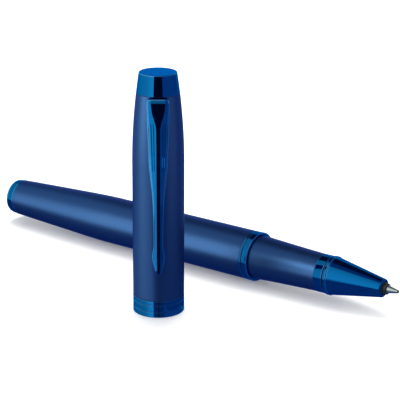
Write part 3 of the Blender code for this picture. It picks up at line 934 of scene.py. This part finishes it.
class PEN_OT_make_section(bpy.types.Operator):
    """Make the grip section: rings, grip, collar, nose and the threaded core"""

    bl_idname = "pen.make_section"
    bl_label = "Grip section"

    def rings(self, sizes):
        rear, front = pen_span("centre_trim_ring")
        outside = pen_radius("centre_trim_ring")
        points = [(rear, THREAD_BORE, 0.05), (rear, outside, 0.12), (front, outside, 0.12)]
        points += [(front, THREAD_BORE, 0.05)]
        make_turned(
            "centre_trim_hoop", points, "bright_pen", sizes.facets,
            "thread_ring", "gloss_blue", "centre_trim_ring",
        )

        rear, front = pen_span("section_ring")
        foot = sizes.grip_rear_radius + 0.1
        points = [(rear, 4.4), (rear, 6.1, 0.04), (rear + 0.2, 6.1, 0.03), (rear + 0.22, RING_RADIUS, 0.13)]
        points += [(front - 0.16, RING_RADIUS, 0.1), (front, RING_RADIUS - 0.2, 0.07), (front, foot)]
        points += [(front, 4.4)]
        make_turned(
            "centre_ring_band", points, "bright_pen", sizes.facets,
            "section", "gloss_blue", "section_ring",
        )

    def core(self, sizes):
        """The plastic core, with a raised two-start thread where the barrel screws on."""
        rear, front = pen_span("section_thread_sleeve")
        bore = 3.15
        root = 4.7
        crest = 4.95
        points = [(rear, bore, 0.1), (rear, root - 0.15, 0.25), (rear + 0.8, root), (0.6, root)]
        points += [(0.6, 4.3), (front, 4.3, 0.2), (front, bore)]
        builder = bmesh.new()
        spun(builder, points, sizes.facets // 2)
        lead = 1.0
        starts = 2
        turns = 8.5
        thread = bmesh.new()
        for start in range(starts):
            station = rear + 1.0 + lead * start / starts
            section = [(station - 0.2, root - 0.05), (station - 0.06, crest), (station + 0.06, crest)]
            section += [(station + 0.2, root - 0.05)]
            helix(thread, section, turns, lead, 48)
        mesh = bpy.data.meshes.new("thread")
        thread.to_mesh(mesh)
        thread.free()
        builder.from_mesh(mesh)
        bpy.data.meshes.remove(mesh)
        piece = finished(builder, "section_threaded_core", PEN_PLACE, FINISHES["black"])
        install(piece, "section", "black_plastic", "section_thread_sleeve")

    def grip(self, sizes):
        rear, front = pen_span("grip_tube")
        bore = 4.35
        points = [(rear, bore), (rear, grip_radius(rear), 0.04)]
        points += along(grip_radius, rear + 0.5, front - 0.5, 16)
        points += [(front, grip_radius(front), 0.04), (front, bore)]
        make_turned("grip_tube_shell", points, "satin", sizes.facets, "section", "satin_blue", "grip_tube")

        rear, front = pen_span("grip_collar")
        outside = pen_radius("grip_collar")
        points = [(rear, bore), (rear, outside, sizes.edge), (front, outside, 0.16), (front, bore)]
        make_turned(
            "grip_collar_band", points, "bright_pen", sizes.facets,
            "section", "gloss_blue", "grip_collar",
        )

        rear, front = pen_span("section_o_ring")
        outside = pen_radius("section_o_ring")
        points = [(rear, 4.0, 0.06), (rear, outside, 0.1), (front, outside, 0.1), (front, 4.0, 0.06)]
        make_turned("seal_ring", points, "rubber", sizes.facets // 2, "section", "rubber", "section_o_ring")

    def nose(self, sizes):
        rear, front = pen_span("nose_cone")
        flange = pen_radius("nose_cone")
        mouth = 1.78
        points = [(rear, 3.2), (rear, flange, 0.12), (rear + 0.75, flange, 0.14), (rear + 0.95, 4.84, 0.1)]
        points += bull_nose((front - 0.62, 2.4), (front, 1.87), 8)
        points += [(front, mouth, 0.04), (front - 1.2, mouth), (37.0, 2.0), (28.0, 3.2)]
        make_turned(
            "nose_cone_shell", points, "bright_pen", sizes.facets, "section", "gloss_blue", "nose_cone"
        )

    def execute(self, context):
        sizes = context.scene.pen_sizes
        self.rings(sizes)
        self.core(sizes)
        self.grip(sizes)
        self.nose(sizes)
        return {"FINISHED"}


class PEN_OT_make_refill(bpy.types.Operator):
    """Make the refill's tube, plug, front, point, ball and spring"""

    bl_idname = "pen.make_refill"
    bl_label = "Refill"

    def body(self, facets):
        rear, front = pen_span("refill_tube")
        outside = pen_radius("refill_tube")
        points = [(rear, 2.55), (rear, outside, 0.08), (front - 6.0, outside)]
        points += groove(front - 5.0, outside, 0.2, 0.12)
        points += [(front, outside, 0.08), (front, 2.55)]
        make_turned("refill_body", points, "milky", facets, "refill", "natural_plastic", "refill_tube")

        rear, front = pen_span("refill_rear_plug")
        points = [(rear, 0.4, 0.1), (rear, 1.2, 0.1), (rear + 0.3, 1.5, 0.1), (rear + 0.3, 2.2, 0.1)]
        points += [(rear, 2.4, 0.1), (rear, outside, 0.25), (rear + 0.86, outside), (rear + 0.86, 2.45)]
        points += [(front, 2.45, 0.2), (front, 0.4)]
        make_turned("refill_plug", points, "black", facets, "refill", "black_plastic", "refill_rear_plug")

    def front_end(self, facets):
        rear, front = pen_span("refill_nose")
        outside = pen_radius("refill_nose")
        step = pen_span("refill_tube")[1] + GAP
        points = [(rear, 0.95), (rear, 2.45, 0.1), (step, 2.45), (step, outside, 0.06), (24.4, outside, 0.3)]
        points += [(24.4, 2.05, 0.2), (33.0, 2.05, 0.4), (36.5, 1.62, 0.4), (front, 1.6, 0.25), (front, 0.95)]
        make_turned("refill_front", points, "black", facets, "refill", "black_plastic", "refill_nose")

        rear, front = pen_span("refill_stop_ring")
        outside = pen_radius("refill_stop_ring")
        points = [(rear, 0.95), (rear, outside, 0.14), (front - 0.05, outside - 0.03, 0.18)]
        points += [(front, 1.16, 0.06), (front, 0.95)]
        make_turned("refill_stop", points, "black", facets, "refill", "black_plastic", "refill_stop_ring")

    def point(self, facets):
        rear, front = pen_span("refill_tip")
        shoulder = pen_span("refill_stop_ring")[1] + GAP
        points = [(rear, 0.4), (rear, 0.9, 0.08), (shoulder, 0.9), (shoulder, 1.02, 0.05)]
        points += [(42.5, 0.57, 0.2), (42.62, 0.53, 0.05), (front - 0.06, 0.46, 0.04), (front, 0.43, 0.02)]
        points += [(front, 0.4)]
        make_turned("refill_point", points, "steel_pen", facets, "refill", "steel", "refill_tip")

        builder = bmesh.new()
        centre = (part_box("writing_ball")[0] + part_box("writing_ball")[1]) / 2
        radius = pen_radius("writing_ball")
        bmesh.ops.create_icosphere(builder, subdivisions=4, radius=radius)
        flat = bmesh.ops.bisect_plane(
            builder,
            geom=builder.verts[:] + builder.edges[:] + builder.faces[:],
            plane_co=(0.0, 0.0, -0.8 * radius),
            plane_no=(0.0, 0.0, 1.0),
            clear_inner=True,
        )
        rim = [item for item in flat["geom_cut"] if isinstance(item, bmesh.types.BMEdge)]
        bmesh.ops.edgeloop_fill(builder, edges=rim)
        bmesh.ops.recalc_face_normals(builder, faces=builder.faces)
        place = (
            Matrix.Translation(centre) @ Matrix.Rotation(math.pi / 2, 4, "Y") @ Matrix.Scale(MM, 4)
        )
        piece = finished(builder, "writing_sphere", place, FINISHES["carbide"])
        install(piece, "ball", "carbide", "writing_ball")

    def spring(self):
        """Round wire wound at an even lead between the seat and the plug."""
        rear, front = pen_span("refill_spring")
        wire = 0.2
        coil = pen_radius("refill_spring") - wire
        turns = 5
        first = rear + wire
        lead = (front - rear - 2 * wire) / turns
        sides = 10
        section = []
        for side in range(sides):
            angle = math.tau * side / sides
            section.append((first + wire * math.sin(angle), coil + wire * math.cos(angle)))
        builder = bmesh.new()
        helix(builder, section, turns, lead, 40)
        piece = finished(builder, "refill_coil", PEN_PLACE, FINISHES["steel_pen"])
        install(piece, "spring_end", "steel", "refill_spring")
        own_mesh(piece)

    def execute(self, context):
        facets = context.scene.pen_sizes.facets // 2
        self.body(facets)
        self.front_end(facets)
        self.point(facets)
        self.spring()
        return {"FINISHED"}


class PEN_OT_finish_hidden(bpy.types.Operator):
    """Give the CAD pieces that stay in view inside the pen their finishes"""

    bl_idname = "pen.finish_hidden"
    bl_label = "Hidden pieces"

    def execute(self, context):
        kept = {
            "crown_stud": "brass_cap",
            "crown_nut": "brass_cap",
            "clip_retainer": "steel_cap",
            "nose_bush": "grey",
            "ink_reservoir": "felt",
            "feed_wick": "felt",
        }
        for node, finish in kept.items():
            frame["nodes"][node].material_slots[0].material = FINISHES[finish]
        return {"FINISHED"}


class PEN_OT_make_stage(bpy.types.Operator):
    """Make the floor, the cards and boxes that reflections see, the lamps and the camera"""

    bl_idname = "pen.make_stage"
    bl_label = "Stage"

    # Where the boxes and black gaps stand, in degrees: (from, to, softness) in turn, then in rise.
    LEFT_BOX = ((23.0, 150.0, 2.0), (-29.0, 68.0, 3.0))
    RIGHT_BOX = ((-118.0, -24.0, 3.0), (-60.0, 62.0, 8.0))
    OVERHEAD = ((-30.0, 30.0, 4.0), (39.0, 80.0, 4.0))
    BLACK_GAP = ((-24.0, 23.5, 1.2), (-21.5, 10.0, 1.5))
    LOW_GAP = ((-2.5, 2.5, 0.8), (-50.0, -20.0, 1.5))
    FRONT_TURN = (-124.0, 124.0, 7.0)
    BEHIND_RISE = (-40.0, 44.0, 8.0)
    CROWN_BAND_RISE = (1.0, 16.0, 6.0)
    # What the camera looks at, in metres from the foot of the cap.
    CAMERA_AIM = (0.008, 0.0061, 0.0282)

    def floor(self, stage):
        """A pale floor that reflections and shadow rays do not see, and that glows a little."""
        floor = self.sheet("floor", ((-2.0, -2.0), (2.0, -2.0), (2.0, 2.0), (-2.0, 2.0)), 0.0)
        floor.visible_glossy = False
        floor.visible_shadow = False
        material = bpy.data.materials.new("pale_floor")
        recipe = Recipe(material)
        shader = recipe.tree.nodes["Principled BSDF"]
        recipe.feed(shader, "Base Color", (*stage.floor, 1.0))
        recipe.feed(shader, "Roughness", 0.3)
        recipe.feed(shader, "Emission Color", (1.0, 1.0, 1.0, 1.0))
        recipe.feed(shader, "Emission Strength", stage.floor_lift)
        floor.data.materials.append(material)

    def sheet(self, name, corners, height):
        """A flat sheet over the corners, which belongs to the stage."""
        builder = bmesh.new()
        verts = [builder.verts.new((x, y, height)) for x, y in corners]
        bmesh.ops.contextual_create(builder, geom=verts)
        bmesh.ops.recalc_face_normals(builder, faces=builder.faces)
        mesh = bpy.data.meshes.new(name)
        builder.to_mesh(mesh)
        builder.free()
        made = bpy.data.objects.new(name, mesh)
        bpy.context.scene.collection.objects.link(made)
        return made

    def flags(self):
        """Dim cards just under the floor, seen only in reflections, that darken the pen's underside."""
        material = bpy.data.materials.new("dim_card")
        recipe = Recipe(material)
        shader = recipe.tree.nodes["Principled BSDF"]
        recipe.feed(shader, "Base Color", (0.0, 0.0, 0.0, 1.0))
        recipe.feed(shader, "Specular IOR Level", 0.0)
        recipe.feed(shader, "Emission Color", (*FILL, 1.0))
        recipe.feed(shader, "Emission Strength", 1.0)
        rear, side, reach = -0.094, 0.024, 0.105
        behind, near, front, notch = 0.032, -0.0075, -0.1, -0.04
        corridor, below_floor = 0.008, -0.0008

        def cleared(y, beside):
            """Where the way in front of the clip is, so that its ridge mirrors the studio's black gap."""
            return CAP_FOOT.x + (CAP_FOOT.y - y) * math.tan(TOWARDS) + beside

        corner = CAP_FOOT.y - (side - CAP_FOOT.x - corridor) / math.tan(TOWARDS)
        outlines = {
            "card_behind": ((rear, near), (side, near), (side, behind), (rear, behind)),
            "card_right": (
                (side, behind),
                (side, corner),
                (cleared(front, corridor), front),
                (reach, front),
                (reach, behind),
            ),
            "card_left": ((side, notch), (side, front), (cleared(front, -corridor), front)),
        }
        for name, outline in outlines.items():
            card = self.sheet(name, outline, below_floor)
            card.visible_camera = False
            card.visible_diffuse = False
            card.data.materials.append(material)

    def surround(self):
        """Boxes and gaps for reflections, white for the view itself and even white for diffuse light.

        Turn is the angle in plan from the direction of the camera, positive to its left. Rise is the
        angle above the floor.
        """
        world = bpy.data.worlds.new("studio")
        bpy.context.scene.world = world
        recipe = Recipe(world)
        degree = math.pi / 180
        source = recipe.node("ShaderNodeTexCoord", output="Generated")
        x = recipe.node("ShaderNodeSeparateXYZ", None, {"Vector": source}, output=0)
        y = recipe.node("ShaderNodeSeparateXYZ", None, {"Vector": source}, output=1)
        z = recipe.node("ShaderNodeSeparateXYZ", None, {"Vector": source}, output=2)
        ahead = x * math.sin(TOWARDS) - y * math.cos(TOWARDS)
        left = x * -math.cos(TOWARDS) - y * math.sin(TOWARDS)
        turn = left.math("ARCTAN2", left, ahead) / degree
        rise = z.math("ARCSINE", z) / degree

        def between(value, low, high, soft):
            inside = recipe.smooth_step(value, low - soft, low + soft)
            return inside * (1 - recipe.smooth_step(value, high - soft, high + soft))

        def box(edges):
            return between(turn, *edges[0]) * between(rise, *edges[1])

        def glow(tone, strength):
            return (*[part * strength for part in tone], 1.0)

        white = (0.94, 1.04, 0.99)
        bright_low = recipe.smooth_step(rise, -26.0, -2.0)
        bright_high = 1 - recipe.smooth_step(rise, 2.0, 70.0)
        near_gap = 1 - recipe.smooth_step(turn, 28.0, 72.0)
        tone = recipe.mixed(bright_low * bright_high, glow(white, 0.62), glow(white, 0.86))
        left_tone = recipe.mixed(0.75 * near_gap, tone, glow(white, 1.35))
        left_box = box(self.LEFT_BOX)
        right_box = box(self.RIGHT_BOX)
        behind = 1 - between(turn, *self.FRONT_TURN)
        behind_low = behind * between(rise, *self.BEHIND_RISE)
        crown_band = behind * between(rise, *self.CROWN_BAND_RISE)
        hole = Vector((-0.36, 0.428, 0.829))
        facing = x * hole.x + y * hole.y + z * hole.z
        dark = recipe.smooth_step(facing, math.cos(math.radians(25)), math.cos(math.radians(17)))
        gap = box(self.BLACK_GAP)
        low_gap = box(self.LOW_GAP)
        overhead = box(self.OVERHEAD)

        black = (0.01, 0.01, 0.03, 1.0)
        layers = (
            (right_box, (0.13, 0.2, 0.4, 1.0)),
            (behind_low, glow(white, 0.5)),
            (crown_band, glow(white, 0.95)),
            (left_box, left_tone),
            (overhead, glow(white, 0.5)),
            (dark, (0.02, 0.02, 0.05, 1.0)),
            (gap, black),
            (low_gap, black),
        )
        studio = (*FILL, 1.0)
        for where, shown in layers:
            studio = recipe.mixed(where, studio, shown)

        view_ray = recipe.node("ShaderNodeLightPath", output="Is Camera Ray")
        glossy_ray = recipe.node("ShaderNodeLightPath", output="Is Glossy Ray")
        lit = recipe.mixed(glossy_ray, (1.05, 1.05, 1.05, 1.0), studio)
        background = recipe.tree.nodes["Background"]
        recipe.feed(background, "Color", recipe.mixed(view_ray, lit, (1.0, 1.0, 1.0, 1.0)))

    def lamp(self, name, size, power, place, target):
        light = bpy.data.lights.new(name, "AREA")
        light.shape = "RECTANGLE"
        light.size, light.size_y = size
        light.energy = power
        lamp = bpy.data.objects.new(name, light)
        lamp.location = place
        lamp.rotation_euler = (Vector(target) - Vector(place)).to_track_quat("-Z", "Y").to_euler()
        bpy.context.scene.collection.objects.link(lamp)
        return lamp

    def lamps(self, stage):
        """A large soft light above and behind, two for the satin pieces alone and one for the grip."""
        key = self.lamp("key", (0.35, 0.25), stage.key_power, (-0.12, 0.16, 0.42), (0.0, 0.0, 0.0))
        key.visible_glossy = False

        satin = [
            piece
            for piece in bpy.data.objects
            if piece.type == "MESH" and FINISHES["satin"] in list(piece.data.materials)
        ]
        grip = [piece for piece in satin if piece.name == "grip_tube_shell"]
        warm = (1.0, 0.92, 0.6)
        # Name, turn in plan, width, lower and upper edge, tint, share of the brightness, lit pieces.
        satin_lights = (
            ("satin_light", 71.0, 0.56, -0.2, 0.66, warm, 1.0, satin),
            ("satin_fill", -62.0, 0.7, -0.4, 0.3, (1.0, 0.75, 0.36), 0.16, satin),
            ("grip_light", 50.0, 0.5, 0.45, 0.95, warm, 3.6, grip),
        )
        reach = 0.9
        for name, turn, width, low, high, tint, share, lit in satin_lights:
            heading = TOWARDS - math.radians(90.0 + turn)
            target = Vector((0.0, 0.0, (low + high) / 2))
            place = target + reach * Vector((math.cos(heading), math.sin(heading), 0.0))
            power = math.pi * width * (high - low) * share * stage.satin_power
            lamp = self.lamp(name, (width, high - low), power, place, target)
            lamp.data.color = tint
            receivers = bpy.data.collections.new(f"{name}_receivers")
            for piece in lit:
                receivers.objects.link(piece)
            lamp.light_linking.receiver_collection = receivers

    def camera(self, stage):
        data = bpy.data.cameras.new("camera")
        data.lens = stage.camera_lens
        data.clip_start = 0.01
        data.clip_end = 10.0
        camera = bpy.data.objects.new("camera", data)
        aim = CAP_FOOT + Vector(self.CAMERA_AIM)
        azimuth = stage.camera_azimuth
        rise = stage.camera_elevation
        back = Vector(
            (math.sin(azimuth) * math.cos(rise), -math.cos(azimuth) * math.cos(rise), math.sin(rise))
        )
        camera.location = aim + back * stage.camera_distance
        turn = (-back).to_track_quat("-Z", "Y").to_matrix().to_4x4()
        camera.rotation_euler = (turn @ Matrix.Rotation(stage.camera_roll, 4, "Z")).to_euler()
        bpy.context.scene.collection.objects.link(camera)
        bpy.context.scene.camera = camera

    def execute(self, context):
        stage = context.scene.pen_stage
        self.floor(stage)
        self.flags()
        self.surround()
        self.lamps(stage)
        self.camera(stage)
        context.scene.view_settings.view_transform = "Standard"
        return {"FINISHED"}


class PEN_PT_panel(bpy.types.Panel):
    """Lists the sizes, the colours and the steps that make the pen"""

    bl_idname = "PEN_PT_panel"
    bl_label = "Rollerball pen"
    bl_space_type = "VIEW_3D"
    bl_region_type = "UI"
    bl_category = "Pen"

    def draw(self, context):
        scene = context.scene
        for title, group in (("Sizes", scene.pen_sizes), ("Colours", scene.pen_colours),
                             ("Stage", scene.pen_stage)):
            box = self.layout.box()
            box.label(text=title)
            for name in group.bl_rna.properties.keys():
                if name not in ("rna_type", "name"):
                    box.prop(group, name)
        for operator in STEPS:
            self.layout.operator(operator.bl_idname)


STEPS = (
    PEN_OT_make_finishes,
    PEN_OT_make_cap,
    PEN_OT_make_clip,
    PEN_OT_make_barrel,
    PEN_OT_make_section,
    PEN_OT_make_refill,
    PEN_OT_finish_hidden,
    PEN_OT_make_stage,
)
GROUPS = {"pen_sizes": PenSizes, "pen_colours": PenColours, "pen_stage": PenStage}


def register():
    for group in GROUPS.values():
        bpy.utils.register_class(group)
    for operator in STEPS:
        bpy.utils.register_class(operator)
    bpy.utils.register_class(PEN_PT_panel)
    for name, group in GROUPS.items():
        setattr(bpy.types.Scene, name, PointerProperty(type=group))


def unregister():
    for name in GROUPS:
        delattr(bpy.types.Scene, name)
    bpy.utils.unregister_class(PEN_PT_panel)
    for operator in reversed(STEPS):
        bpy.utils.unregister_class(operator)
    for group in GROUPS.values():
        bpy.utils.unregister_class(group)


def main():
    register()
    bpy.ops.pen.make_finishes()
    bpy.ops.pen.make_cap()
    bpy.ops.pen.make_clip()
    bpy.ops.pen.make_barrel()
    bpy.ops.pen.make_section()
    bpy.ops.pen.make_refill()
    bpy.ops.pen.finish_hidden()
    bpy.ops.pen.make_stage()


if __name__ == "__main__":
    main()
